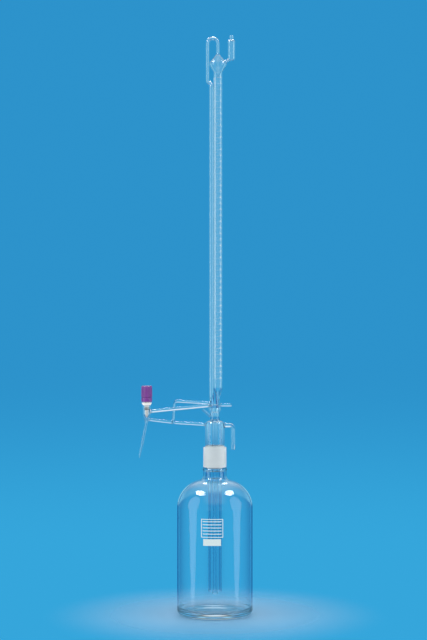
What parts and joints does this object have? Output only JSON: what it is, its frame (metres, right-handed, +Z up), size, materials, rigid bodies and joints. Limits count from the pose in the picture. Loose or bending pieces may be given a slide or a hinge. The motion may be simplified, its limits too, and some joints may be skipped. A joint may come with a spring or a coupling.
{
  "type": "automatic zero burette",
  "caption": "Glass burette with filling tube, overflow bulb and screw valve on a side arm, standing in the ground neck of a round reservoir bottle that refills it to zero.",
  "frame": {"origin": "middle of the bottle's base, on the bench, under the axis of bottle and head", "axes": "+Z up along the bottle's axis, valve on the -X side, front towards -Y"},
  "size_m": [0.1823, 0.121, 0.9252],
  "materials": {
    "clear_glass": "clear polished borosilicate glass",
    "ground_glass": "frosted, fine-ground glass",
    "white_plastic": "white waxy fluoropolymer",
    "purple_plastic": "moulded purple plastic",
    "seal_rubber": "black seal rubber"
  },
  "bodies": {
    "reservoir": {"reservoir_bottle": "clear_glass", "neck_socket": "ground_glass"},
    "dip_parts": {"ground_cone": "ground_glass", "dip_sleeve": "clear_glass", "riser_tube": "clear_glass"},
    "burette": {"head_chamber": "clear_glass", "head_stem": "clear_glass", "vent_spout": "clear_glass", "air_inlet": "clear_glass", "burette_foot": "clear_glass", "measuring_tube": "clear_glass", "fill_tube": "clear_glass", "fill_step": "clear_glass", "fill_loop": "clear_glass", "zero_tip": "clear_glass", "overflow_bulb": "clear_glass", "vent_arm": "clear_glass", "vent_cup": "clear_glass", "vent_nozzle": "clear_glass", "delivery_arm": "clear_glass", "brace_loop": "clear_glass", "lower_stay": "clear_glass", "rest_bar": "clear_glass", "valve_barrel": "clear_glass", "valve_gland": "white_plastic", "jet_tube": "clear_glass", "jet_tip": "clear_glass"},
    "seal_rings": {"lower_o_ring": "seal_rubber", "upper_o_ring": "seal_rubber"},
    "spindle": {"valve_spindle": "white_plastic", "valve_knob": "purple_plastic"}
  },
  "joints": [
    {"name": "burette_lift", "type": "slide", "parent": "reservoir", "child": "dip_parts", "axis": [0, 0, 1], "range_m": [0, 0.24]},
    {"name": "burette_swivel", "type": "hinge", "parent": "dip_parts", "child": "burette", "pos_m": [0, 0, 0.27], "axis": [0, 0, 1], "continuous": true},
    {"name": "valve_rise", "type": "slide", "parent": "burette", "child": "seal_rings", "axis": [0, 0, 1], "range_m": [0, 0.004]},
    {"name": "knob_turn", "type": "hinge", "parent": "seal_rings", "child": "spindle", "pos_m": [-0.109, 0, 0.34], "axis": [0, 0, 1], "range_deg": [0, 720]}
  ],
  "couplings": [
    {"joint": "knob_turn", "follows": "valve_rise", "rad_per_m": 3141.6}
  ]
}
